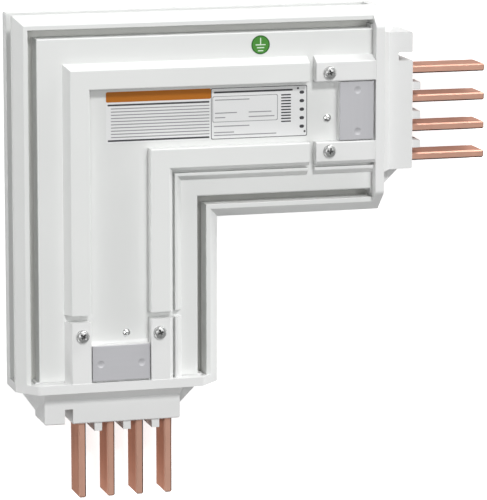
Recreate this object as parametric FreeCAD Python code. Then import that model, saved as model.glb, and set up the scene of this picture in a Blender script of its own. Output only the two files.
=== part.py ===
import FreeCAD, Part
import math
import os
from FreeCAD import Vector

# Busway elbow: four copper bars turn 90 degrees inside a mitred housing.
# Millimetres, +Z up. It lies on its back; the front cover faces up.
# The origin is on the back face where the two centre lines cross.
# One leg runs to +X, the other to -Y, and both have the same section.
# A section point is (across, height): across is measured from the leg's
# outer side, so it counts in the same direction in both legs.

# Housing: an extruded channel in two legs, mitred at the corner
WIDTH = 164.0
HALF_WIDTH = WIDTH / 2
WALL = 3.0
GROOVE_LOW, GROOVE_HIGH = 13.0, 30.0      # side groove that hangers grip
GROOVE_DEPTH = 6.0
SIDE_HIGH = 34.2                          # top of the upright side
LIP_OUT, LIP_IN = 7.4, 11.0               # rail along both front edges
LIP_TOP = 42.0
SLOT_FLOOR = 26.0                         # slot between rail and cover
SHELF_IN = 23.0                           # shelf that carries the cover
EDGE_ROUND, LIP_ROUND = 1.0, 0.5          # drawn edges of the extrusion

# Front cover: one bent panel with two raised ridges and a rib
PANEL_OUT = 17.7
PANEL_TOP = 41.2
SHEET = 2.5
PANEL_ROUND, RIDGE_ROUND, RIB_ROUND = 1.4, 1.0, 0.5   # radii of outside bends
RIDGE_TOP = 50.0
RIDGE_FOOT = 38.0                         # outer ridge, sloped outside
RIDGE_OUT, RIDGE_IN = 42.5, 57.9
RIDGE_CHAMFER = 2.8                       # inner ridge, chamfered edge
RIDGE2_IN, RIDGE2_OUT = 106.1, 124.1
RIB_IN, RIB_OUT, RIB_FOOT = 126.5, 128.8, 132.7
RIB_TOP = 46.0
RIDGE_END = 153.4                         # ridges and rib stop short of the cap

# End cap: flange, arms, plate land and insulator block in one moulding
FLANGE_FACE = 215.0
FLANGE_THICK = 7.0
FLANGE_BACK = FLANGE_FACE - FLANGE_THICK
FLANGE_TOP = 50.5
FLANGE_CHAMFER = 15.4
FLANGE_ROUND, CORNER_ROUND = 1.5, 4.0     # sides of the flange, corners of its top
COLLAR_THICK = 1.3                        # the panel butts against a low collar
COLLAR_DROP, COLLAR_OVER = 0.8, 3.0       # below the panel, out into the slots
PANEL_END = FLANGE_BACK - COLLAR_THICK
ARM_START = 159.0
LAND_START, LAND_TOP = 178.6, 47.5
LAND_COVE, COVE_LIP = 2.6, 0.2            # hollow foot of the land and its thin front edge
BLOCK_OUT, BLOCK_IN = 21.9, 131.7
BLOCK_LOW, BLOCK_TOP = 4.5, 39.8
BLOCK_END = 242.0
BLOCK_BEVEL = 0.8
NOTCH_OUT, NOTCH_IN, NOTCH_START = 38.3, 44.8, 230.0
SLOPE_LENGTH = 7.2                        # flange front down to the block
OUTER_GUSSET_WIDE, OUTER_GUSSET_LONG = 15.7, 21.9     # leaning, on the outer side
INNER_GUSSET, INNER_GUSSET_TOP = 18.5, 31.0           # flat, on the inner side
TOOTH_WIDTH, TOOTH_LENGTH = 6.0, 7.0
TOOTH_LOW, TOOTH_TOP = 7.0, 38.0
TOOTH_OFFSET = 12.9                       # from the bar on its outer side

# Bus bars: bent flat copper, nested round the corner
BAR_FIRST, BAR_PITCH, BAR_COUNT = 52.7, 23.3, 4
BAR_THICK = 6.0
BAR_LOW, BAR_TOP = 9.0, 37.0
BAR_END = 303.0
BAR_BEND = 6.0                            # inside radius of the bend
BAR_BEVEL = 1.0

# Bonding plate between the arms of each cap
PLATE_THICK = 1.5
PLATE_EDGE, PLATE_END_GAP = 0.95, 1.5     # clearance to the arms and to the flange
PLATE_END = FLANGE_BACK - PLATE_END_GAP
PLATE_BEVEL = 0.3
MOAT_DEPTH = 2.5                          # groove in the land round the plate
DIMPLE_RADIUS, DIMPLE_DEPTH = 3.0, 0.6    # shallow spherical dimples
DIMPLES = (65.5, 98.5)
DIMPLE_ALONG = 193.2

# Screws and rivets
SCREW_ALONG = 169.8
SCREWS_ACROSS = (50.9, 113.2)
SCREW_HEAD, SCREW_HEIGHT, SCREW_SHANK = 5.2, 3.0, 2.5
RIVET_ALONG, RIVET_ACROSS = 170.4, 88.0
RIVET_HEAD, RIVET_HEIGHT, RIVET_SHANK = 3.3, 1.6, 1.6
HOLE_CLEARANCE = 0.2

HEAD_RIM, HEAD_CROWN = 0.4, 0.6           # upright rim and flat crown of a head

REACH = 2 * BAR_END
FULL_TURN = 360


def at(along, across, height):
    """A point on the +X leg."""
    return Vector(along, HALF_WIDTH - across, height)


def section_face(section, along):
    """A closed section as a face. A third value at a corner rounds it to that radius."""
    edges, ends = [], []
    for index, (across, height, *rounding) in enumerate(section):
        corner = at(along, across, height)
        if not rounding:
            ends.append((corner, corner))
            continue
        before = at(along, *section[index - 1][:2]) - corner
        after = at(along, *section[(index + 1) % len(section)][:2]) - corner
        half_angle = before.getAngle(after) / 2
        setback = rounding[0] / math.tan(half_angle)
        start, end = corner + before.normalize() * setback, corner + after.normalize() * setback
        inward = (before + after).normalize()
        middle = corner + inward * (rounding[0] / math.sin(half_angle) - rounding[0])
        edges.append(Part.Arc(start, middle, end).toShape())
        ends.append((start, end))
    for index, (start, end) in enumerate(ends):
        edges.append(Part.makeLine(ends[index - 1][1], start))
    return Part.Face(Part.Wire(Part.__sortEdges__(edges)))


def section_prism(section, start, end):
    """Extrude a closed section along the +X leg from start to end."""
    return section_face(section, start).extrude(Vector(end - start, 0, 0))


def leg_box(start, end, across_0, across_1, low, top):
    """A box on the +X leg, given along, across and in height."""
    corners = [(across_0, low), (across_0, top), (across_1, top), (across_1, low)]
    return section_prism(corners, start, end)


def side_prism(outline, across_0, across_1):
    """Extrude an (along, height) outline across the +X leg."""
    points = [Vector(along, HALF_WIDTH - across_0, height) for along, height in outline]
    face = Part.Face(Part.makePolygon(points + points[:1]))
    return face.extrude(Vector(0, across_0 - across_1, 0))


def plan_prism(outline, low, top):
    """Extrude an (along, across) outline of the +X leg in height."""
    points = [Vector(along, HALF_WIDTH - across, low) for along, across in outline]
    face = Part.Face(Part.makePolygon(points + points[:1]))
    return face.extrude(Vector(0, 0, top - low))


def mitred(section, end):
    """A +X leg cut at 45 degrees where it meets the other leg."""
    corner = [Vector(-REACH, REACH, -REACH), Vector(REACH, -REACH, -REACH), Vector(-REACH, -REACH, -REACH)]
    other_side = Part.Face(Part.makePolygon(corner + corner[:1])).extrude(Vector(0, 0, 2 * REACH))
    return section_prism(section, -WIDTH, end).cut(other_side)


def turned(shape):
    """The same form on the -Y leg: mirrored about the corner diagonal."""
    return shape.mirror(Vector(0, 0, 0), Vector(1, 1, 0))


def across_mirrored(half):
    """Complete a symmetrical section from its outer half."""
    return half + [(WIDTH - across, *rest) for across, *rest in reversed(half)]


def fastener(along, across, seat, head, height, shank, depth):
    """A turned head that rests on its seat, with a plain shank below it."""
    profile = [
        (0, -depth), (shank, -depth), (shank, 0), (head, 0),
        (head, height * HEAD_RIM), (head * HEAD_CROWN, height), (0, height),
    ]
    centre = at(along, across, seat)
    points = [centre + Vector(radius, 0, level) for radius, level in profile]
    return Part.Face(Part.makePolygon(points + points[:1])).revolve(centre, Vector(0, 0, 1), FULL_TURN)


def ridge_sections():
    """Outer ridge, inner ridge and rib, each standing on the panel."""
    outer = [
        (RIDGE_FOOT, PANEL_TOP), (RIDGE_OUT, RIDGE_TOP, RIDGE_ROUND),
        (RIDGE_IN, RIDGE_TOP, RIDGE_ROUND), (RIDGE_IN, PANEL_TOP),
    ]
    inner = [
        (RIDGE2_IN, PANEL_TOP), (RIDGE2_IN, RIDGE_TOP, RIDGE_ROUND), (RIDGE2_OUT - RIDGE_CHAMFER, RIDGE_TOP),
        (RIDGE2_OUT, RIDGE_TOP - RIDGE_CHAMFER), (RIDGE2_OUT, PANEL_TOP),
    ]
    rib = [
        (RIB_IN, PANEL_TOP), (RIB_IN, RIB_TOP, RIB_ROUND), (RIB_OUT, RIB_TOP, RIB_ROUND),
        (RIB_FOOT, PANEL_TOP),
    ]
    return outer, inner, rib


def housing_leg():
    half = [
        (0, 0, EDGE_ROUND), (0, GROOVE_LOW, LIP_ROUND), (GROOVE_DEPTH, GROOVE_LOW),
        (GROOVE_DEPTH, GROOVE_HIGH), (0, GROOVE_HIGH, LIP_ROUND), (0, SIDE_HIGH, EDGE_ROUND),
        (LIP_OUT, LIP_TOP, EDGE_ROUND), (LIP_IN, LIP_TOP, LIP_ROUND), (LIP_IN, SLOT_FLOOR),
        (SHELF_IN, SLOT_FLOOR), (SHELF_IN, SLOT_FLOOR - WALL),
        (GROOVE_DEPTH + WALL, SLOT_FLOOR - WALL), (GROOVE_DEPTH + WALL, GROOVE_LOW - WALL),
        (WALL, GROOVE_LOW - WALL), (WALL, WALL),
    ]
    return mitred(across_mirrored(half), FLANGE_BACK)


def front_cover():
    under = PANEL_TOP - SHEET
    panel = [
        (PANEL_OUT, SLOT_FLOOR), (PANEL_OUT, PANEL_TOP, PANEL_ROUND),
        (WIDTH - PANEL_OUT, PANEL_TOP, PANEL_ROUND), (WIDTH - PANEL_OUT, SLOT_FLOOR),
        (WIDTH - PANEL_OUT - SHEET, SLOT_FLOOR),
        (WIDTH - PANEL_OUT - SHEET, under), (PANEL_OUT + SHEET, under), (PANEL_OUT + SHEET, SLOT_FLOOR),
    ]
    leg = mitred(panel, PANEL_END)
    for section in ridge_sections():
        leg = leg.fuse(mitred(section, RIDGE_END))
    for foot_0, foot_1 in ((RIDGE_OUT, RIDGE_IN), (RIDGE2_IN, RIDGE2_OUT)):
        hollow = [
            (foot_0 + SHEET, under), (foot_0 + SHEET, RIDGE_TOP - SHEET),
            (foot_1 - SHEET, RIDGE_TOP - SHEET), (foot_1 - SHEET, under),
        ]
        leg = leg.cut(mitred(hollow, RIDGE_END - SHEET))
    leg = leg.cut(Part.makeCylinder(
        RIVET_SHANK + HOLE_CLEARANCE, SHEET, at(RIVET_ALONG, RIVET_ACROSS, under)))
    return leg.fuse(turned(leg)).removeSplitter()


def outer_gusset():
    """A leaning web from the flange to the block, flush with the sloped shoulder."""
    lean = OUTER_GUSSET_WIDE * (1 - SLOPE_LENGTH / OUTER_GUSSET_LONG) / (BLOCK_TOP - BLOCK_LOW)
    head_wide = OUTER_GUSSET_WIDE - lean * (FLANGE_TOP - BLOCK_LOW)
    corners = [
        at(FLANGE_FACE, BLOCK_OUT - OUTER_GUSSET_WIDE, BLOCK_LOW),
        at(FLANGE_FACE + OUTER_GUSSET_LONG, BLOCK_OUT, BLOCK_LOW),
        at(FLANGE_FACE + SLOPE_LENGTH, BLOCK_OUT, BLOCK_TOP),
        at(FLANGE_FACE, BLOCK_OUT - head_wide, FLANGE_TOP),
    ]
    return Part.Face(Part.makePolygon(corners + corners[:1])).extrude(Vector(0, -OUTER_GUSSET_WIDE, 0))


def end_cap():
    half = [(0, 0, FLANGE_ROUND), (0, SIDE_HIGH, FLANGE_ROUND), (FLANGE_CHAMFER, FLANGE_TOP, CORNER_ROUND)]
    cap = section_prism(across_mirrored(half), FLANGE_BACK, FLANGE_FACE)
    # low collar that the panel butts against
    cap = cap.fuse(leg_box(
        PANEL_END, FLANGE_BACK, PANEL_OUT - COLLAR_OVER, WIDTH - PANEL_OUT + COLLAR_OVER,
        SLOT_FLOOR, PANEL_TOP - COLLAR_DROP))
    # arms that carry the ridges on up to the flange
    for section in ridge_sections():
        cap = cap.fuse(section_prism(section, ARM_START, FLANGE_BACK))
    # raised land for the bonding plate, with a cove up from the recess
    foot, cove_top = LAND_START - LAND_COVE, PANEL_TOP + COVE_LIP + LAND_COVE
    land = leg_box(LAND_START, FLANGE_BACK, RIDGE_IN, RIDGE2_IN, PANEL_TOP, LAND_TOP)
    land = land.fuse(leg_box(foot, LAND_START, RIDGE_IN, RIDGE2_IN, PANEL_TOP, cove_top))
    land = land.cut(Part.makeCylinder(
        LAND_COVE, RIDGE2_IN - RIDGE_IN, at(foot, RIDGE_IN, cove_top), Vector(0, -1, 0)))
    cap = cap.fuse(land)
    for start, across_0, across_1 in (
            (LAND_START, RIDGE_IN, RIDGE_IN + PLATE_EDGE), (LAND_START, RIDGE2_IN - PLATE_EDGE, RIDGE2_IN),
            (PLATE_END, RIDGE_IN, RIDGE2_IN)):
        cap = cap.cut(leg_box(start, FLANGE_BACK, across_0, across_1, LAND_TOP - MOAT_DEPTH, LAND_TOP))
    # insulator block with its sloped shoulder
    outline = [
        (FLANGE_FACE, BLOCK_LOW), (FLANGE_FACE, FLANGE_TOP), (FLANGE_FACE + SLOPE_LENGTH, BLOCK_TOP),
        (BLOCK_END, BLOCK_TOP), (BLOCK_END, BLOCK_LOW),
    ]
    block = side_prism(outline, BLOCK_OUT, BLOCK_IN)
    end_edges = [edge for edge in block.Edges if edge.BoundBox.XMin > BLOCK_END - BLOCK_BEVEL]
    cap = cap.fuse(block.makeChamfer(BLOCK_BEVEL, end_edges))
    cap = cap.fuse(outer_gusset())
    inner_gusset = [
        (FLANGE_FACE, BLOCK_IN), (FLANGE_FACE, BLOCK_IN + INNER_GUSSET),
        (FLANGE_FACE + INNER_GUSSET, BLOCK_IN),
    ]
    cap = cap.fuse(plan_prism(inner_gusset, BLOCK_LOW, INNER_GUSSET_TOP))
    for bar in range(BAR_COUNT - 1):
        middle = BAR_FIRST + bar * BAR_PITCH + TOOTH_OFFSET
        cap = cap.fuse(leg_box(
            BLOCK_END, BLOCK_END + TOOTH_LENGTH,
            middle - TOOTH_WIDTH / 2, middle + TOOTH_WIDTH / 2, TOOTH_LOW, TOOTH_TOP))
    cap = cap.cut(leg_box(NOTCH_START, BLOCK_END, NOTCH_OUT, NOTCH_IN, BLOCK_LOW, BLOCK_TOP))
    for bar in range(BAR_COUNT):
        middle = BAR_FIRST + bar * BAR_PITCH
        cap = cap.cut(leg_box(
            PANEL_END, BLOCK_END, middle - BAR_THICK / 2, middle + BAR_THICK / 2, BAR_LOW, BAR_TOP))
    for across in SCREWS_ACROSS:
        cap = cap.cut(Part.makeCylinder(
            SCREW_SHANK + HOLE_CLEARANCE, RIDGE_TOP - PANEL_TOP, at(SCREW_ALONG, across, PANEL_TOP)))
    return cap.removeSplitter()


def bus_bar(middle):
    """A flat bar bent once round the corner, with its long edges and its ends bevelled."""
    outer, inner = middle - BAR_THICK / 2, middle + BAR_THICK / 2
    outline = [
        at(BAR_END, outer, BAR_LOW), at(outer - HALF_WIDTH, outer, BAR_LOW),
        Vector(outer - HALF_WIDTH, -BAR_END, BAR_LOW), Vector(inner - HALF_WIDTH, -BAR_END, BAR_LOW),
        at(inner - HALF_WIDTH, inner, BAR_LOW), at(BAR_END, inner, BAR_LOW),
    ]
    bar = Part.Face(Part.makePolygon(outline + outline[:1])).extrude(Vector(0, 0, BAR_TOP - BAR_LOW))
    for corner, radius in ((outline[1], BAR_BEND + BAR_THICK), (outline[4], BAR_BEND)):
        bend = [
            edge for edge in bar.Edges
            if all(abs(v.X - corner.x) + abs(v.Y - corner.y) < BAR_BEVEL for v in edge.Vertexes)
        ]
        bar = bar.makeFillet(radius, bend)
    bevelled = [
        edge for edge in bar.Edges
        if edge.BoundBox.ZLength < BAR_BEVEL
        or edge.BoundBox.XMin > BAR_END - BAR_BEVEL or edge.BoundBox.YMax < BAR_BEVEL - BAR_END
    ]
    return bar.makeChamfer(BAR_BEVEL, bevelled)


def bonding_plate():
    top = LAND_TOP + PLATE_THICK
    plate = leg_box(LAND_START, PLATE_END, RIDGE_IN + PLATE_EDGE, RIDGE2_IN - PLATE_EDGE, LAND_TOP, top)
    top_edges = [edge for edge in plate.Edges if edge.BoundBox.ZMin > top - PLATE_BEVEL]
    plate = plate.makeChamfer(PLATE_BEVEL, top_edges)
    ball = (DIMPLE_RADIUS ** 2 + DIMPLE_DEPTH ** 2) / (2 * DIMPLE_DEPTH)
    for across in DIMPLES:
        plate = plate.cut(Part.makeSphere(
            ball, at(DIMPLE_ALONG, across, top - DIMPLE_DEPTH + ball)))
    return plate


def export(shape, node):
    shape.exportStep("parts/" + node + ".step")


os.makedirs("parts", exist_ok=True)

export(front_cover(), "front_cover")
for number in range(BAR_COUNT):
    export(bus_bar(BAR_FIRST + number * BAR_PITCH), "bus_bar_" + str(number + 1))

pieces = {"housing_leg": housing_leg(), "end_cap": end_cap(), "bonding_plate": bonding_plate()}
for number, across in enumerate(SCREWS_ACROSS):
    pieces["screw_" + str(number + 1)] = fastener(
        SCREW_ALONG, across, RIDGE_TOP, SCREW_HEAD, SCREW_HEIGHT, SCREW_SHANK, RIDGE_TOP - PANEL_TOP)
pieces["rivet"] = fastener(
    RIVET_ALONG, RIVET_ACROSS, PANEL_TOP, RIVET_HEAD, RIVET_HEIGHT, RIVET_SHANK, SHEET)
for name, shape in pieces.items():
    export(shape, name + "_right")
    export(turned(shape), name + "_bottom")
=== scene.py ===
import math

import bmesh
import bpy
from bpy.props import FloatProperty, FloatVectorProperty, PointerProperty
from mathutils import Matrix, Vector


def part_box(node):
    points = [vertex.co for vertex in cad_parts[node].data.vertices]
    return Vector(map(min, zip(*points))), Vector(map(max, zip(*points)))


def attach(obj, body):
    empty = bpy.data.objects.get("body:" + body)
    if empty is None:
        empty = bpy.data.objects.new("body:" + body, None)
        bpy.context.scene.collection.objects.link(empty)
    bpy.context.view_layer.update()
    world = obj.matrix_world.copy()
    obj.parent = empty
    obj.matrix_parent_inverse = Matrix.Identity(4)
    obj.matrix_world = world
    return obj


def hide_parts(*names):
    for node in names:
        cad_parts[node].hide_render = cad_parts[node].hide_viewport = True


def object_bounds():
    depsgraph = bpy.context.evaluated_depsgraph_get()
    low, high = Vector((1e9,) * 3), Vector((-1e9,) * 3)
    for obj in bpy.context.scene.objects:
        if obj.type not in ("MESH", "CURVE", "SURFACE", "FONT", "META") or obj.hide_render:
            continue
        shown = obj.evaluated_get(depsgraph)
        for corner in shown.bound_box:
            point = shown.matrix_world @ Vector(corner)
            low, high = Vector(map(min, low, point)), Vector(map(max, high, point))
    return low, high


bl_info = {
    "name": "Busway Elbow Finish",
    "version": (1, 0, 0),
    "blender": (4, 5, 0),
    "location": "3D View > Sidebar > Elbow",
    "description": "Paint, copper, fasteners, labels and a studio for a busway elbow",
    "category": "Object",
}

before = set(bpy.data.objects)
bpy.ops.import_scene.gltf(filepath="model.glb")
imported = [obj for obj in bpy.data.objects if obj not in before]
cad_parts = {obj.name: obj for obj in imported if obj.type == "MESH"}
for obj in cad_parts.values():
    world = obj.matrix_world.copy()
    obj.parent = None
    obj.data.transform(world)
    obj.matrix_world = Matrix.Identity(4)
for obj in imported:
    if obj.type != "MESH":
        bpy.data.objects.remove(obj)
CAD_BOX = [list(corner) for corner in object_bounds()]

BODY = "root"
MM = 0.001
LEGS = ("right", "bottom")
FULL_TURN = 2 * math.pi
QUARTER_TURN = math.pi / 2
SMOOTH_ANGLE = math.radians(32)

RIDGE_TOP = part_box("front_cover")[1].z
PANEL_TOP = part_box("screw_1_right")[0].z      # the screws end on the panel
SLOT_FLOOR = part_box("front_cover")[0].z       # the skirts of the cover end on it
RAIL_WIDTH = 11.0 * MM                        # from the side of the housing to its slot
SLOT_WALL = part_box("housing_leg_right")[1].y - RAIL_WIDTH
OUTER_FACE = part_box("bus_bar_1")[1].y         # the outermost face of the bars
NEAR = 0.3 * MM                               # a point as near as this to a face counts as on it
SHANK_SHARE = 0.48                            # shank radius over head radius
ROUND_END = 0.49                              # end radius of a printed bar over its height
NOISE_LOW, NOISE_HIGH = 0.3, 0.7              # most of a noise lies between them
LEG_SHADE_SHIFT = 0.12                             # painted shade and light: how far the right leg's copper is darkened and the bottom leg's lightened
MIX_SOCKETS = {"FLOAT": (2, 3, 0), "VECTOR": (4, 5, 1), "RGBA": (6, 7, 2)}     # first, second, result
FLOOR_REACH = 30.0


def colour(name, description, default):
    """A colour that the user may change, in linear light."""
    return FloatVectorProperty(
        name=name, description=description, subtype="COLOR", size=3, min=0, max=1, default=default)


def length(name, description, millimetres):
    """A length that the user may change: given here in millimetres, kept in metres."""
    return FloatProperty(
        name=name, description=description, subtype="DISTANCE", unit="LENGTH", default=millimetres * MM)


def amount(name, description, default):
    """A plain number that the user may change."""
    return FloatProperty(name=name, description=description, min=0, default=default)


def power(name, description, watts):
    """Power of a light that the user may change."""
    return FloatProperty(name=name, description=description, unit="POWER", min=0, default=watts)


class ElbowFinishes(bpy.types.PropertyGroup):
    """Colours and gloss of the elbow's surfaces."""

    paint: colour("Powder coat", "White coat on the housing and its front cover", (0.725, 0.735, 0.725))
    moulding: colour("Moulding", "White plastic of the end caps", (0.735, 0.74, 0.735))
    copper: colour("Copper", "Clean drawn copper of the bus bars", (0.704, 0.402, 0.302))
    # also the colour that the right leg's copper is pushed towards, as painted shade
    tarnish: colour("Tarnish", "Darker streaks along the bus bars", (0.561, 0.32, 0.242))
    # the next three colours are painted shade on the bars: on the inner bevels, on the ends and on the
    # outermost faces
    inner_edge_shade: colour("Inner edge shade", "Dark inner edges of the bus bars", (0.06, 0.035, 0.028))
    end_shade: colour("End shade", "Painted shade at the ends of the bus bars", (0.22, 0.125, 0.095))
    outer_face_shade: colour("Outer face shade", "Shade on the outermost faces of the bus bars", (0.77, 0.76, 0.75))
    plate: colour("Plate", "Grey plating of the bonding plates", (0.50, 0.50, 0.52))
    zinc: colour("Zinc", "Satin plating of the screws", (0.46, 0.465, 0.46))
    # painted shade in the recess of the screws
    recess_shade: colour("Recess shade", "Painted shade in the recess of the screws", (0.07, 0.07, 0.07))
    rivet: colour("Rivet", "Bright aluminium of the rivets", (0.86, 0.865, 0.86))
    # painted shade on the slot floors, outer and inner, and painted light on the inner slot walls
    outer_slot: colour("Outer slot", "Painted shade on the floors of the outer slots", (0.73, 0.735, 0.705))
    inner_slot: colour("Inner slot", "Painted shade on the floors of the inner slots", (0.41, 0.415, 0.395))
    slot_wall: colour("Slot wall", "Painted light on the walls of the inner slots", (0.90, 0.905, 0.89))
    paint_roughness: amount("Paint roughness", "Mean roughness of the powder coat", 0.42)
    orange_peel: length("Orange peel", "Height of the ripple in the powder coat", 0.02)


class ElbowFasteners(bpy.types.PropertyGroup):
    """Sizes of the screw and rivet details."""

    screw_rim: length("Screw rim", "Upright rim under the domed screw head", 0.8)
    recess_reach: length("Recess reach", "From the middle of the screw to the end of a recess wing", 3.0)
    recess_width: length("Recess width", "Width of a recess wing", 1.5)
    recess_depth: length("Recess depth", "Depth of the cross recess", 2.4)
    rivet_rim: length("Rivet rim", "Upright rim under the domed rivet head", 0.3)
    stem: length("Stem", "Radius of the broken stem in the middle of a rivet", 0.9)
    stem_depth: length("Stem depth", "How deep the hole round the stem is", 0.5)


class ElbowPrint(bpy.types.PropertyGroup):
    """Stickers on the front cover. Places are measured from the crossing of the two centre lines."""

    film: colour("Film", "White film of the labels", (0.765, 0.77, 0.77))
    header: colour("Header", "Band along the top of the left label", (0.425, 0.135, 0.008))
    ink: colour("Ink", "Dark print of the frame and marks", (0.06, 0.06, 0.065))
    pale_ink: colour("Pale ink", "Light print of the placeholder lines", (0.30, 0.30, 0.31))
    sign: colour("Sign", "Green ground of the earth sign", (0.060, 0.245, 0.034))
    sign_rim: colour("Sign rim", "Darker edge of the earth sign", (0.025, 0.115, 0.02))
    symbol: colour("Symbol", "Pale strokes of the earth sign", (0.68, 0.80, 0.66))
    film_thickness: length("Film thickness", "Thickness of a sticker", 0.15)
    ink_thickness: length("Ink thickness", "How far the print stands above the film", 0.03)
    left_edge: length("Left edge", "Left edge of the left label", -9.3)
    seam: length("Seam", "Where the two labels meet", 75.2)
    right_edge: length("Right edge", "Right edge of the right label", 153.7)
    top_edge: length("Top edge", "Top edge of both labels", 21.0)
    bottom_edge: length("Bottom edge", "Bottom edge of both labels", -19.5)
    header_height: length("Header height", "Height of the coloured band", 8.2)
    sign_along: length("Sign along", "Middle of the sign along the right leg", 115.6)
    sign_above: length("Sign above", "Middle of the sign above the leg's centre line", 54.0)
    sign_radius: length("Sign radius", "Radius of the round earth sign", 7.5)


class ElbowStudio(bpy.types.PropertyGroup):
    """Camera, lights and floor."""

    lens: FloatProperty(
        name="Lens", description="Focal length on a 36 mm sensor", unit="CAMERA", min=1, default=264.13)
    position: FloatVectorProperty(
        name="Camera position", description="Where the camera stands", subtype="TRANSLATION", unit="LENGTH",
        default=(-0.65844, 0.40995, 2.79434))
    turn: FloatVectorProperty(
        name="Camera turn", description="Rotation of the camera", subtype="EULER", unit="ROTATION",
        default=(math.radians(-10.2955), math.radians(-15.4357), math.radians(-0.0058)))
    sky: amount("Sky", "Strength of the even light all round", 0.12)
    floor_glow: amount("Floor glow", "Light that the floor gives off, to lift its shadows", 0.70)
    key_light: power("Key light", "Small light above the top edge, for the shadows of the ridges", 797)
    right_fill: power("Right fill", "Soft light high above the right side", 278)
    left_fill: power("Left fill", "Soft light high above the left side", 269)
    right_strip: power("Right strip", "Low strip at the right, for the side faces", 241)
    corner_strip: power("Corner strip", "Low strip at the upper right, for the side faces", 686)
    left_strip: power("Left strip", "Low strip at the upper left, for the side faces", 343)
    lower_strip: power("Lower strip", "Low strip at the lower left, for the side faces", 389)
    floor: colour("Floor", "Pale studio floor", (0.93, 0.93, 0.93))


def new_material(name):
    """An empty node material, with its tree and its shader."""
    material = bpy.data.materials.new(name)
    material.use_nodes = True
    return material, material.node_tree, material.node_tree.nodes["Principled BSDF"]


def node(tree, kind, inputs=(), **settings):
    """Add a shader node. An input is a value, or the socket that feeds it."""
    made = tree.nodes.new("ShaderNode" + kind)
    for name, value in settings.items():
        setattr(made, name, value)
    for name, value in dict(inputs).items():
        if isinstance(value, bpy.types.NodeSocket):
            tree.links.new(value, made.inputs[name])
        else:
            made.inputs[name].default_value = value
    return made


def maths(tree, operation, *values):
    """One sum on sockets and numbers, as an output socket."""
    return node(tree, "Math", enumerate(values), operation=operation).outputs[0]


def mixed(tree, kind, factor, first, second, blend="MIX"):
    """Two numbers, vectors or colours mixed by a factor, as an output socket."""
    one, two, result = MIX_SOCKETS[kind]
    ends = {0: factor, one: first, two: second}
    return node(tree, "Mix", ends, data_type=kind, blend_type=blend).outputs[result]


def parts(tree, vector):
    """The X, Y and Z of a vector, as output sockets."""
    return tuple(node(tree, "SeparateXYZ", {0: vector}).outputs)


def facing(tree):
    """The X, Y and Z of the direction that the surface faces."""
    return parts(tree, node(tree, "NewGeometry").outputs["Normal"])


def place(tree):
    """Position on the part, in metres."""
    return node(tree, "TexCoord").outputs["Object"]


def noise(tree, vector, scale, detail=2.0):
    """Grey noise with so many features to the metre."""
    return node(tree, "TexNoise", {"Vector": vector, "Scale": scale, "Detail": detail}).outputs[0]


def spread(tree, value, low, high):
    """Bring the middle of a noise to the range from low to high."""
    ends = {"From Min": NOISE_LOW, "From Max": NOISE_HIGH, "To Min": low, "To Max": high}
    return node(tree, "MapRange", {"Value": value, **ends}).outputs[0]


def tinted(tree, shader, factor, first, second):
    """Let the base colour vary between two colours by a noise."""
    tone = mixed(tree, "RGBA", spread(tree, factor, 0.0, 1.0), (*first, 1), (*second, 1))
    tree.links.new(tone, shader.inputs["Base Color"])


def roughened(tree, shader, factor, low, high):
    """Let the roughness vary between two values by a noise."""
    tree.links.new(spread(tree, factor, low, high), shader.inputs["Roughness"])


def bumped(tree, shader, height, distance):
    """Let a height field tilt the surface."""
    bump = node(tree, "Bump", {"Height": height, "Distance": distance})
    tree.links.new(bump.outputs[0], shader.inputs["Normal"])


def shaded(base, share):
    """The same colour, darker or lighter."""
    return tuple(min(1.0, channel * share) for channel in base)


def mottled(tree, shader, factor, base, low, high):
    """Let the base colour get darker and lighter by a noise."""
    tinted(tree, shader, factor, shaded(base, low), shaded(base, high))


def overlaid(tree, shader, mask, tone, blend="MIX"):
    """Lay another colour over the base colour where a mask is one."""
    under = shader.inputs["Base Color"].links[0].from_socket
    tree.links.new(mixed(tree, "RGBA", mask, under, tone, blend), shader.inputs["Base Color"])


def powder_coat(name, base, roughness, ripple):
    """Satin white coat: faint clouds, uneven gloss and a fine orange peel."""
    material, tree, shader = new_material(name)
    spot = place(tree)
    mottled(tree, shader, noise(tree, spot, 14.0, 4.0), base, low=0.985, high=1.01)
    roughened(tree, shader, noise(tree, spot, 90.0, 3.0), roughness - 0.05, roughness + 0.05)
    bumped(tree, shader, noise(tree, spot, 700.0), ripple)
    return material


def shade_in_slots(material, outer_tone, inner_tone, wall_tone):
    """Paint shade onto the slot floors and light onto the walls of the inner slots, in the coat's colour."""
    tree = material.node_tree
    shader = tree.nodes["Principled BSDF"]
    x, y, z = parts(tree, place(tree))
    upward = facing(tree)[2]
    # painted shade: the floor tones stand in for the shade at the bottom of the slots
    at_floor = maths(tree, "COMPARE", z, SLOT_FLOOR, NEAR)
    on_floor = maths(tree, "MULTIPLY", at_floor, maths(tree, "GREATER_THAN", upward, 0.5))
    inward = maths(tree, "MINIMUM", x, maths(tree, "MULTIPLY", y, -1.0))
    inside = maths(tree, "GREATER_THAN", inward, 0.0)
    floor_tone = mixed(tree, "RGBA", inside, (*outer_tone, 1), (*inner_tone, 1))
    overlaid(tree, shader, on_floor, floor_tone)
    # painted light: the walls of the inner slots are made lighter than the coat
    at_wall = maths(tree, "COMPARE", inward, SLOT_WALL, NEAR)
    on_wall = maths(tree, "MULTIPLY", at_wall, maths(tree, "LESS_THAN", upward, 0.5))
    overlaid(tree, shader, on_wall, (*wall_tone, 1))


def matt_moulding(name, base):
    """Moulded white plastic with a fine spark-eroded grain."""
    material, tree, shader = new_material(name)
    spot = place(tree)
    mottled(tree, shader, noise(tree, spot, 22.0, 3.0), base, low=0.985, high=1.01)
    roughened(tree, shader, noise(tree, spot, 160.0), 0.46, 0.58)
    bumped(tree, shader, noise(tree, spot, 1600.0, 3.0), 0.02 * MM)
    return material


def on_right_leg(tree, spot):
    """One on the right leg, zero on the bottom leg."""
    x, y, z = parts(tree, spot)
    return maths(tree, "GREATER_THAN", maths(tree, "ADD", x, y), 0.0)


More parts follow.
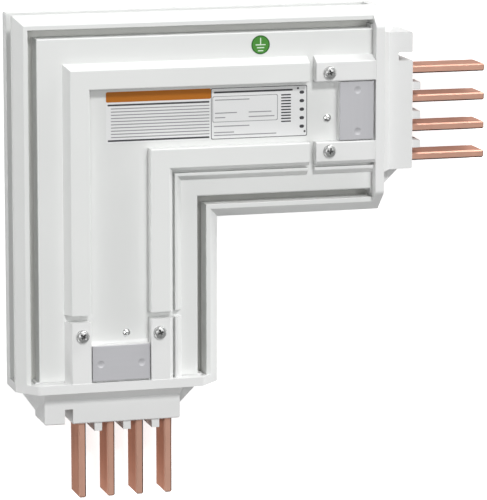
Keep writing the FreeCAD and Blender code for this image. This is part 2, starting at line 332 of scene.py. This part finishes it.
def along_the_leg(tree, spot, lengthways, crossways):
    """Coordinates scaled along and across the leg, whichever of the two it is."""
    bottom = node(tree, "Mapping", {"Vector": spot, "Scale": (crossways, lengthways, crossways)})
    right = node(tree, "Mapping", {"Vector": spot, "Scale": (lengthways, crossways, crossways)})
    return mixed(tree, "VECTOR", on_right_leg(tree, spot), bottom.outputs[0], right.outputs[0])


def facing_on_leg(tree, spot):
    """How far a surface faces the inside of the elbow, and how far the end of its leg."""
    right, up, forward = facing(tree)
    down = maths(tree, "MULTIPLY", up, -1.0)
    leg = on_right_leg(tree, spot)
    return mixed(tree, "FLOAT", leg, right, down), mixed(tree, "FLOAT", leg, down, right)


def outermost(tree, spot):
    """One on the faces of the bars that are open to the outer side of the elbow, zero elsewhere."""
    x, y, z = parts(tree, spot)
    outward = maths(tree, "MAXIMUM", y, maths(tree, "MULTIPLY", x, -1.0))
    return maths(tree, "GREATER_THAN", outward, OUTER_FACE - NEAR)


def drawn_copper(name, base, tarnish, edge, end_shade, outer_face_shade):
    """Copper bar with die lines along its length and a patchy tarnish, and painted shade and light: the right
    leg darker than the bottom leg, dark inner bevels, dark ends and darker outermost faces.
    """
    material, tree, shader = new_material(name)
    spot = place(tree)
    die_lines = noise(tree, along_the_leg(tree, spot, 4.0, 900.0), 1.0, 3.0)
    bands = noise(tree, along_the_leg(tree, spot, 6.0, 160.0), 1.0)
    patches = noise(tree, spot, 45.0, 3.0)
    # painted shade and light: the right leg's copper is shifted towards the tarnish, the bottom leg's towards
    # the clean copper
    lifted_tone = maths(tree, "MULTIPLY_ADD", maths(tree, "ADD", bands, patches), 0.5, LEG_SHADE_SHIFT)
    tone_and_leg_shade = maths(tree, "MULTIPLY_ADD", on_right_leg(tree, spot), -2 * LEG_SHADE_SHIFT, lifted_tone)
    tinted(tree, shader, tone_and_leg_shade, tarnish, base)
    inward, endward = facing_on_leg(tree, spot)
    # painted shade on the bevels that face the inside of the elbow
    overlaid(tree, shader, maths(tree, "COMPARE", inward, math.sqrt(0.5), 0.2), (*edge, 1))
    # painted shade on the faces at the ends of the bars
    overlaid(tree, shader, maths(tree, "GREATER_THAN", endward, 0.5), (*end_shade, 1))
    # painted shade on the outermost faces of the bars
    overlaid(tree, shader, outermost(tree, spot), (*outer_face_shade, 1), "MULTIPLY")
    roughened(tree, shader, die_lines, 0.29, 0.37)
    bumped(tree, shader, die_lines, 0.01 * MM)
    shader.inputs["Metallic"].default_value = 0.45
    shader.inputs["IOR"].default_value = 1.05                                 # no white sheen on it
    shader.inputs["Specular Tint"].default_value = (0.36, 0.19, 0.14, 1)      # copper red at a low angle
    return material


def brushed_plate(name, base):
    """Grey plated sheet with a short, soft brushing across the leg."""
    material, tree, shader = new_material(name)
    strokes = noise(tree, along_the_leg(tree, place(tree), 500.0, 25.0), 1.0, 3.0)
    mottled(tree, shader, strokes, base, low=0.985, high=1.01)
    roughened(tree, shader, strokes, 0.52, 0.56)
    bumped(tree, shader, strokes, 0.004 * MM)
    shader.inputs["Metallic"].default_value = 0.25
    return material


def plated(name, base, roughness, metallic):
    """Bare or plated metal: a little cloudy, with fine pits."""
    material, tree, shader = new_material(name)
    spot = place(tree)
    clouds = noise(tree, spot, 600.0, 3.0)
    mottled(tree, shader, clouds, base, low=0.93, high=1.05)
    roughened(tree, shader, clouds, roughness - 0.04, roughness + 0.04)
    bumped(tree, shader, noise(tree, spot, 2600.0), 0.01 * MM)
    shader.inputs["Metallic"].default_value = metallic
    return material


def shade_hollows(material, tone, reach):
    """Paint shade into the hollows of a small part, darkest where they are deepest."""
    tree = material.node_tree
    hollow = node(tree, "AmbientOcclusion", {"Distance": reach}, samples=8, only_local=True)
    ends = {"From Min": 0.15, "From Max": 0.60, "To Min": 1.0, "To Max": 0.0}
    # film: painted shade, strongest in the deepest hollows
    film = node(tree, "MapRange", {"Value": hollow.outputs["AO"], **ends})
    overlaid(tree, tree.nodes["Principled BSDF"], film.outputs[0], (*tone, 1))


def printed_film(name, base, roughness):
    """Sticker film or ink: a fine screen-print grain and a soft sheen."""
    material, tree, shader = new_material(name)
    spot = place(tree)
    grain = noise(tree, spot, 2200.0)
    mottled(tree, shader, grain, base, low=0.96, high=1.03)
    roughened(tree, shader, noise(tree, spot, 120.0), roughness - 0.05, roughness + 0.05)
    bumped(tree, shader, grain, 0.004 * MM)
    shader.inputs["Specular IOR Level"].default_value = 0.25
    return material


def studio_floor(name, base, glow):
    """Pale seamless floor with a barely visible unevenness and a glow that lifts its shadows."""
    material, tree, shader = new_material(name)
    mottled(tree, shader, noise(tree, place(tree), 3.0, 3.0), base, low=0.99, high=1.0)
    shader.inputs["Roughness"].default_value = 0.9
    shader.inputs["Specular IOR Level"].default_value = 0.1
    shader.inputs["Emission Color"].default_value = (1, 1, 1, 1)
    shader.inputs["Emission Strength"].default_value = glow
    return material


def coat_nodes(names, material):
    """Give CAD nodes a finish through their material slots."""
    for name in names:
        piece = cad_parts[name]
        if not piece.material_slots:
            piece.data.materials.append(material)
        for slot in piece.material_slots:
            slot.material = material


def on_both_legs(*kinds):
    """Node names of these kinds on both legs."""
    return [kind + "_" + leg for kind in kinds for leg in LEGS]


def new_object(name, form, materials):
    """Turn a bmesh into an object of the scene, smooth but for its sharp edges."""
    bmesh.ops.recalc_face_normals(form, faces=form.faces)
    mesh = bpy.data.meshes.new(name)
    form.to_mesh(mesh)
    form.free()
    for material in materials:
        mesh.materials.append(material)
    mesh.shade_smooth()
    mesh.set_sharp_from_angle(angle=SMOOTH_ANGLE)
    made = bpy.data.objects.new(name, mesh)
    bpy.context.scene.collection.objects.link(made)
    return made


def new_piece(name, form, materials):
    """Turn a bmesh into a piece that rides with the part."""
    piece = new_object(name, form, materials)
    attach(piece, BODY)
    return piece


def turned_solid(profile, segments):
    """Revolve a profile of (radius, height) points, from axis to axis, about Z."""
    solid = bmesh.new()
    angles = [FULL_TURN * step / segments for step in range(segments)]
    rings = []
    for radius, height in profile:
        spokes = angles if radius else angles[:1]
        rings.append([solid.verts.new((radius * math.cos(a), radius * math.sin(a), height)) for a in spokes])
    for lower, upper in zip(rings, rings[1:]):
        for step in range(segments):
            after = (step + 1) % segments
            corners = [lower[step % len(lower)], lower[after % len(lower)]]
            corners += [upper[after % len(upper)], upper[step % len(upper)]]
            solid.faces.new(list(dict.fromkeys(corners)))
    return solid


def dome(radius, low, high, steps, fullness):
    """Points of a crowned head, from its rim up to the axis. Less fullness makes it flatter."""
    points = []
    for step in range(steps):
        angle = QUARTER_TURN * step / steps
        points.append((radius * math.cos(angle) ** fullness, low + (high - low) * math.sin(angle)))
    return points + [(0, high)]


def closed_loft(rings, target, material=0):
    """Join rings of points with equal counts into one closed skin."""
    loops = [[target.verts.new(point) for point in ring] for ring in rings]
    faces = [target.faces.new(loops[-1]), target.faces.new(loops[0][::-1])]
    for lower, upper in zip(loops, loops[1:]):
        for index in range(len(lower)):
            after = (index + 1) % len(lower)
            faces.append(target.faces.new((lower[index], lower[after], upper[after], upper[index])))
    for face in faces:
        face.material_index = material


def cross_bit(reach, width, depth, top):
    """A tapered four-winged bit that presses the recess into a screw."""
    taper = 0.35
    plan = []
    for wing in range(4):
        turn = Matrix.Rotation(wing * QUARTER_TURN, 2)
        corners = ((reach, -width / 2), (reach, width / 2), (width / 2, width / 2))
        plan += [turn @ Vector(corner) for corner in corners]
    levels = ((taper, -depth), (2 - taper, depth))
    bit = bmesh.new()
    closed_loft([[(p.x * share, p.y * share, top + level) for p in plan] for share, level in levels], bit)
    bmesh.ops.recalc_face_normals(bit, faces=bit.faces)
    return bit


def pressed(solid, bit):
    """Cut one bmesh out of another."""
    bmesh.ops.recalc_face_normals(solid, faces=solid.faces)
    pair = []
    for form in (solid, bit):
        mesh = bpy.data.meshes.new("pressing")
        form.to_mesh(mesh)
        form.free()
        holder = bpy.data.objects.new("pressing", mesh)
        bpy.context.scene.collection.objects.link(holder)
        pair.append(holder)
    cut = pair[0].modifiers.new("recess", "BOOLEAN")
    cut.object = pair[1]
    cut.operation = "DIFFERENCE"
    cut.solver = "EXACT"
    bpy.context.view_layer.update()
    result = bmesh.new()
    result.from_object(pair[0], bpy.context.evaluated_depsgraph_get())
    for holder in pair:
        mesh = holder.data
        bpy.data.objects.remove(holder)
        bpy.data.meshes.remove(mesh)
    return result


def fastener(name):
    """A fastener's lowest and highest level, its middle and the radius of its head."""
    low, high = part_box(name)
    return low.z, high.z, (low + high) / 2, (high.x - low.x) / 2


def rounded_outline(low, high, radius, steps=6):
    """Points of a rounded rectangle, anticlockwise."""
    centres = (
        (high[0] - radius, high[1] - radius), (low[0] + radius, high[1] - radius),
        (low[0] + radius, low[1] + radius), (high[0] - radius, low[1] + radius),
    )
    points = []
    for quarter, (x, y) in enumerate(centres):
        for step in range(steps + 1):
            angle = (quarter + step / steps) * QUARTER_TURN
            points.append((x + radius * math.cos(angle), y + radius * math.sin(angle)))
    return points


def disc_outline(centre, radius, steps=64):
    """Points of a circle, anticlockwise."""
    angles = [FULL_TURN * step / steps for step in range(steps)]
    return [(centre[0] + radius * math.cos(a), centre[1] + radius * math.sin(a)) for a in angles]


def add_sheet(target, outline, levels, material):
    """Add a thin closed sheet between two heights."""
    closed_loft([[(x, y, height) for x, y in outline] for height in levels], target, material)


def add_ring(target, outer, inner, levels, material):
    """Add a thin closed ring between two outlines with equal counts of points."""
    low, top = levels
    loops = []
    for outline, height in ((outer, low), (outer, top), (inner, top), (inner, low)):
        loops.append([target.verts.new((x, y, height)) for x, y in outline])
    for loop, other in zip(loops, loops[1:] + loops[:1]):
        for step in range(len(loop)):
            after = (step + 1) % len(loop)
            face = target.faces.new((loop[step], loop[after], other[after], other[step]))
            face.material_index = material


def add_bar(target, low, high, levels, material):
    """Add a printed bar with rounded ends."""
    radius = min(high[0] - low[0], high[1] - low[1]) * ROUND_END
    add_sheet(target, rounded_outline(low, high, radius, 3), levels, material)


def print_levels(look):
    """Lower and upper level of the print on a sticker."""
    surface = PANEL_TOP + look.film_thickness
    return surface, surface + look.ink_thickness


class ELBOW_OT_housing(bpy.types.Operator):
    """Powder coat the two mitred legs of the housing"""

    bl_idname = "elbow.housing"
    bl_label = "Housing"

    def execute(self, context):
        finish = context.scene.elbow_finishes
        coat = powder_coat("housing_coat", finish.paint, finish.paint_roughness, finish.orange_peel)
        # painted shade on the slot floors and painted light on the inner slot walls
        shade_in_slots(coat, finish.outer_slot, finish.inner_slot, finish.slot_wall)
        coat_nodes(on_both_legs("housing_leg"), coat)
        return {"FINISHED"}


class ELBOW_OT_cover(bpy.types.Operator):
    """Powder coat the ridged front cover"""

    bl_idname = "elbow.cover"
    bl_label = "Front Cover"

    def execute(self, context):
        finish = context.scene.elbow_finishes
        coat = powder_coat("cover_coat", finish.paint, finish.paint_roughness, finish.orange_peel)
        coat_nodes(["front_cover"], coat)
        return {"FINISHED"}


class ELBOW_OT_end_caps(bpy.types.Operator):
    """Give the two end caps their moulded grain"""

    bl_idname = "elbow.end_caps"
    bl_label = "End Caps"

    def execute(self, context):
        grain = matt_moulding("cap_grain", context.scene.elbow_finishes.moulding)
        coat_nodes(on_both_legs("end_cap"), grain)
        return {"FINISHED"}


class ELBOW_OT_bus_bars(bpy.types.Operator):
    """Give the bent bars their drawn copper finish"""

    bl_idname = "elbow.bus_bars"
    bl_label = "Bus Bars"

    def execute(self, context):
        finish = context.scene.elbow_finishes
        bars = [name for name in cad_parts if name.startswith("bus_bar")]
        copper = drawn_copper(
            "bar_copper", finish.copper, finish.tarnish, finish.inner_edge_shade, finish.end_shade,
            finish.outer_face_shade)
        coat_nodes(bars, copper)
        return {"FINISHED"}


class ELBOW_OT_bonding_plates(bpy.types.Operator):
    """Give the two bonding plates their grey plating"""

    bl_idname = "elbow.bonding_plates"
    bl_label = "Bonding Plates"

    def execute(self, context):
        plating = brushed_plate("plate_zinc", context.scene.elbow_finishes.plate)
        coat_nodes(on_both_legs("bonding_plate"), plating)
        return {"FINISHED"}


class ELBOW_OT_screws(bpy.types.Operator):
    """Make the four pan-head screws with a cross recess"""

    bl_idname = "elbow.screws"
    bl_label = "Screws"

    FIRST_TURN, NEXT_TURN = math.radians(18), math.radians(31)
    SEGMENTS, DOME_STEPS, FULLNESS = 64, 12, 0.72

    def execute(self, context):
        sizes = context.scene.elbow_fasteners
        finish = context.scene.elbow_finishes
        zinc = plated("screw_zinc", finish.zinc, roughness=0.30, metallic=0.55)
        # painted shade in the cross recess
        shade_hollows(zinc, finish.recess_shade, sizes.recess_depth)
        for index, name in enumerate(on_both_legs("screw_1", "screw_2")):
            low, high, middle, radius = fastener(name)
            shank = radius * SHANK_SHARE
            profile = [(0, low), (shank, low), (shank, RIDGE_TOP), (radius, RIDGE_TOP)]
            profile += dome(radius, RIDGE_TOP + sizes.screw_rim, high, self.DOME_STEPS, self.FULLNESS)
            bit = cross_bit(sizes.recess_reach, sizes.recess_width, sizes.recess_depth, high)
            screw = pressed(turned_solid(profile, self.SEGMENTS), bit)
            turn = Matrix.Rotation(self.FIRST_TURN + index * self.NEXT_TURN, 4, "Z")
            screw.transform(Matrix.Translation((middle.x, middle.y, 0)) @ turn)
            piece = new_piece("pan_" + name, screw, [zinc])
            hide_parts(name)
        return {"FINISHED"}


class ELBOW_OT_rivets(bpy.types.Operator):
    """Make the two domed rivets with the broken stem in the middle"""

    bl_idname = "elbow.rivets"
    bl_label = "Rivets"

    SEGMENTS, DOME_STEPS, FULLNESS = 48, 14, 0.9

    def execute(self, context):
        sizes = context.scene.elbow_fasteners
        stem = sizes.stem
        bright = plated("rivet_aluminium", context.scene.elbow_finishes.rivet, roughness=0.24, metallic=1.0)
        for name in on_both_legs("rivet"):
            low, high, middle, radius = fastener(name)
            shank = radius * SHANK_SHARE
            sunk = high - sizes.stem_depth
            crown = high - sizes.stem_depth / 2
            head = dome(radius, PANEL_TOP + sizes.rivet_rim, high, self.DOME_STEPS, self.FULLNESS)
            profile = [(0, low), (shank, low), (shank, PANEL_TOP), (radius, PANEL_TOP)]
            profile += [(r, height) for r, height in head if r > stem * 1.1]
            profile += [(stem, sunk), (stem * 0.85, sunk), (stem * 0.6, crown), (0, crown)]
            rivet = turned_solid(profile, self.SEGMENTS)
            rivet.transform(Matrix.Translation((middle.x, middle.y, 0)))
            piece = new_piece("domed_" + name, rivet, [bright])
            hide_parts(name)
        return {"FINISHED"}


class ELBOW_OT_labels(bpy.types.Operator):
    """Stick the two blank labels in the recess of the front cover"""

    bl_idname = "elbow.labels"
    bl_label = "Labels"

    FILM, HEADER, INK, PALE_INK = range(4)
    CORNER = 1.2 * MM
    LINE, BOLD = 0.8 * MM, 1.4 * MM                                         # heights of the placeholder lines
    FRAME_LINE = 0.5 * MM
    MARGIN, INDENT = 1.2 * MM, 2.6 * MM
    BOLD_LINES = (2.3 * MM, 30.3 * MM)                                      # depths under the band
    ROWS, FIRST_ROW, ROW_PITCH = 10, 5.1 * MM, 2.5 * MM
    FIELD = (Vector((0.015, 0.33)), Vector((0.694, 0.84)))                  # shares of the right label
    TITLE = (0.03, 0.85, 0.915)                                             # (from, to, height), as shares
    NOTES = (
        (0.04, 0.40, 0.765), (0.04, 0.27, 0.51), (0.04, 0.15, 0.42), (0.39, 0.63, 0.51), (0.39, 0.66, 0.42),
        (0.03, 0.40, 0.25), (0.03, 0.24, 0.13), (0.03, 0.68, 0.075))
    STRIPES, FIRST_STRIPE, LAST_STRIPE = 10, Vector((0.78, 0.30)), Vector((0.78, 0.82))
    STRIPE_HALF = Vector((4.1, 0.55)) * MM
    DOTS, DOT_RADIUS = (Vector((0.905, 0.94)), Vector((0.975, 0.09))), 0.85 * MM
    POLES, FIRST_POLE, LAST_POLE = 5, Vector((0.945, 0.19)), Vector((0.945, 0.86))
    POLE_HALF = Vector((1.9, 1.3)) * MM

    def print_line(self, label, levels, left, right, y, height, ink):
        """A plain line in the place of print."""
        add_bar(label, (left, y - height / 2), (right, y + height / 2), levels, ink)

    def left_label(self, look, levels):
        """White film with a plain coloured band along its top and even, empty lines under it."""
        label = bmesh.new()
        low = Vector((look.left_edge, look.bottom_edge))
        high = Vector((look.seam, look.top_edge))
        band = Vector((low.x, high.y - look.header_height))
        left, right = low.x + self.MARGIN, high.x - self.MARGIN
        add_sheet(label, rounded_outline(low, high, self.CORNER), (PANEL_TOP, levels[0]), self.FILM)
        add_sheet(label, rounded_outline(band, high, self.CORNER), levels, self.HEADER)
        for depth in self.BOLD_LINES:
            self.print_line(label, levels, left, right, band.y - depth, self.BOLD, self.INK)
        for row in range(self.ROWS):
            y = band.y - self.FIRST_ROW - row * self.ROW_PITCH
            self.print_line(label, levels, left + self.INDENT, right, y, self.LINE, self.PALE_INK)
        return label

    def line_frame(self, label, low, high, levels, ink):
        """A thin rounded frame just inside two corners."""
        line = Vector((self.FRAME_LINE, self.FRAME_LINE))
        outer = rounded_outline(low, high, self.CORNER)
        add_ring(label, outer, rounded_outline(low + line, high - line, self.CORNER), levels, ink)

    def column(self, label, levels, ends, count, half, ink):
        """Equal marks at equal steps."""
        for step in range(count):
            middle = ends[0].lerp(ends[1], step / (count - 1))
            add_bar(label, middle - half, middle + half, levels, ink)

    def right_label(self, look, levels):
        """White film with a frame, an empty field, placeholder lines, even stripes and pole marks."""
        label = bmesh.new()
        low = Vector((look.seam, look.bottom_edge))
        high = Vector((look.right_edge, look.top_edge))
        size = high - low
        add_sheet(label, rounded_outline(low, high, self.CORNER), (PANEL_TOP, levels[0]), self.FILM)
        self.line_frame(label, low, high, levels, self.INK)
        self.line_frame(label, *(low + corner * size for corner in self.FIELD), levels, self.PALE_INK)
        lines = [(self.TITLE, self.BOLD, self.INK)]
        lines += [(note, self.LINE, self.PALE_INK) for note in self.NOTES]
        for (start, end, height), thickness, ink in lines:
            left, right, y = low.x + start * size.x, low.x + end * size.x, low.y + height * size.y
            self.print_line(label, levels, left, right, y, thickness, ink)
        stripes = [low + end * size for end in (self.FIRST_STRIPE, self.LAST_STRIPE)]
        self.column(label, levels, stripes, self.STRIPES, self.STRIPE_HALF, self.INK)
        poles = [low + end * size for end in (self.FIRST_POLE, self.LAST_POLE)]
        self.column(label, levels, poles, self.POLES, self.POLE_HALF, self.INK)
        for dot in self.DOTS:
            add_sheet(label, disc_outline(low + dot * size, self.DOT_RADIUS, 24), levels, self.INK)
        return label

    def execute(self, context):
        look = context.scene.elbow_print
        materials = [
            printed_film("label_film", look.film, roughness=0.42),
            printed_film("label_header", look.header, roughness=0.50),
            printed_film("label_ink", look.ink, roughness=0.50),
            printed_film("label_pale_ink", look.pale_ink, roughness=0.50),
        ]
        levels = print_levels(look)
        new_piece("label_left", self.left_label(look, levels), materials)
        new_piece("label_right", self.right_label(look, levels), materials)
        return {"FINISHED"}


class ELBOW_OT_earth_sign(bpy.types.Operator):
    """Stick the round protective earth sign on the front cover"""

    bl_idname = "elbow.earth_sign"
    bl_label = "Earth Sign"

    GROUND, RIM, SYMBOL = range(3)
    STROKE = 0.8 * MM
    STEM_HEIGHT = 5.5 * MM
    BARS = ((0.0, 8.2 * MM), (-2.3 * MM, 6.0 * MM), (-4.7 * MM, 4.5 * MM))     # (level, width)
    RIM_WIDTH = 0.9 * MM

    def execute(self, context):
        look = context.scene.elbow_print
        materials = [
            printed_film("sign_green", look.sign, roughness=0.50),
            printed_film("sign_rim", look.sign_rim, roughness=0.50),
            printed_film("sign_symbol", look.symbol, roughness=0.50),
        ]
        centre = Vector((look.sign_along, look.sign_above))
        levels = print_levels(look)
        outline = disc_outline(centre, look.sign_radius)
        half = self.STROKE / 2
        sign = bmesh.new()
        add_sheet(sign, outline, (PANEL_TOP, levels[0]), self.GROUND)
        add_ring(sign, outline, disc_outline(centre, look.sign_radius - self.RIM_WIDTH), levels, self.RIM)
        strokes = [((-half, half), (half, self.STEM_HEIGHT))]
        strokes += [((-width / 2, level - half), (width / 2, level + half)) for level, width in self.BARS]
        for low, high in strokes:
            add_bar(sign, centre + Vector(low), centre + Vector(high), levels, self.SYMBOL)
        new_piece("earth_sign", sign, materials)
        return {"FINISHED"}


class ELBOW_OT_stage(bpy.types.Operator):
    """Set up the floor, the lights and the camera"""

    bl_idname = "elbow.stage"
    bl_label = "Studio"

    MIDDLE = (Vector(CAD_BOX[0]) + Vector(CAD_BOX[1])) / 2
    DISTANCE = 12.0
    SMALL, LARGE, STRIP = (2.0, 2.0), (4.0, 4.0), (8.0, 2.0)
    LIGHTS = (                                # (setting, azimuth and elevation in degrees, size)
        ("key_light", 80, 48, SMALL), ("right_fill", 30, 68, LARGE), ("left_fill", 180, 70, LARGE),
        ("right_strip", 0, 8, STRIP), ("corner_strip", 55, 8, STRIP),
        ("left_strip", 135, 8, STRIP), ("lower_strip", 225, 8, STRIP),
    )

    def add_light(self, name, azimuth, elevation, size, watts):
        """A flat light that faces the part."""
        light = bpy.data.lights.new(name, "AREA")
        light.shape = "RECTANGLE"
        light.size, light.size_y = size
        light.energy = watts
        holder = bpy.data.objects.new(name, light)
        around, up = math.radians(azimuth), math.radians(elevation)
        direction = Vector((math.cos(around) * math.cos(up), math.sin(around) * math.cos(up), math.sin(up)))
        holder.location = self.MIDDLE + direction * self.DISTANCE
        holder.rotation_euler = direction.to_track_quat("Z", "Y").to_euler()
        holder.visible_camera = False
        bpy.context.scene.collection.objects.link(holder)

    def execute(self, context):
        studio = context.scene.elbow_studio
        ground = bmesh.new()
        bmesh.ops.create_grid(ground, x_segments=4, y_segments=4, size=FLOOR_REACH)
        paint = studio_floor("floor_paint", studio.floor, studio.floor_glow)
        floor = new_object("studio_floor", ground, [paint])
        floor.visible_diffuse = False             # a white floor that sends no light back up

        world = bpy.data.worlds.new("studio_sky")
        world.use_nodes = True
        background = world.node_tree.nodes["Background"]
        background.inputs["Color"].default_value = (1, 1, 1, 1)
        background.inputs["Strength"].default_value = studio.sky
        context.scene.world = world
        for name, azimuth, elevation, size in self.LIGHTS:
            self.add_light(name, azimuth, elevation, size, getattr(studio, name))

        camera = bpy.data.cameras.new("photo_camera")
        camera.lens = studio.lens
        camera.clip_end = FLOOR_REACH * 4
        holder = bpy.data.objects.new("photo_camera", camera)
        holder.location = studio.position
        holder.rotation_euler = studio.turn
        context.scene.collection.objects.link(holder)
        context.scene.camera = holder
        context.scene.view_settings.view_transform = "Standard"
        return {"FINISHED"}


OPERATORS = (
    ELBOW_OT_housing, ELBOW_OT_cover, ELBOW_OT_end_caps, ELBOW_OT_bus_bars, ELBOW_OT_bonding_plates,
    ELBOW_OT_screws, ELBOW_OT_rivets, ELBOW_OT_labels, ELBOW_OT_earth_sign, ELBOW_OT_stage,
)
SETTINGS = {
    "elbow_finishes": ElbowFinishes, "elbow_fasteners": ElbowFasteners,
    "elbow_print": ElbowPrint, "elbow_studio": ElbowStudio,
}


class ELBOW_PT_sidebar(bpy.types.Panel):
    """Lists the steps that dress the elbow"""

    bl_idname = "ELBOW_PT_sidebar"
    bl_label = "Busway Elbow"
    bl_space_type = "VIEW_3D"
    bl_region_type = "UI"
    bl_category = "Elbow"

    def draw(self, context):
        for operator in OPERATORS:
            self.layout.operator(operator.bl_idname)
        for name, group in SETTINGS.items():
            box = self.layout.box()
            for setting in group.__annotations__:
                box.prop(getattr(context.scene, name), setting)


CLASSES = (*SETTINGS.values(), *OPERATORS, ELBOW_PT_sidebar)


def register():
    for each in CLASSES:
        bpy.utils.register_class(each)
    for name, group in SETTINGS.items():
        setattr(bpy.types.Scene, name, PointerProperty(type=group))


def unregister():
    for name in SETTINGS:
        delattr(bpy.types.Scene, name)
    for each in reversed(CLASSES):
        bpy.utils.unregister_class(each)


def main():
    register()
    bpy.ops.elbow.housing()
    bpy.ops.elbow.cover()
    bpy.ops.elbow.end_caps()
    bpy.ops.elbow.bus_bars()
    bpy.ops.elbow.bonding_plates()
    bpy.ops.elbow.screws()
    bpy.ops.elbow.rivets()
    bpy.ops.elbow.labels()
    bpy.ops.elbow.earth_sign()
    bpy.ops.elbow.stage()


if __name__ == "__main__":
    main()
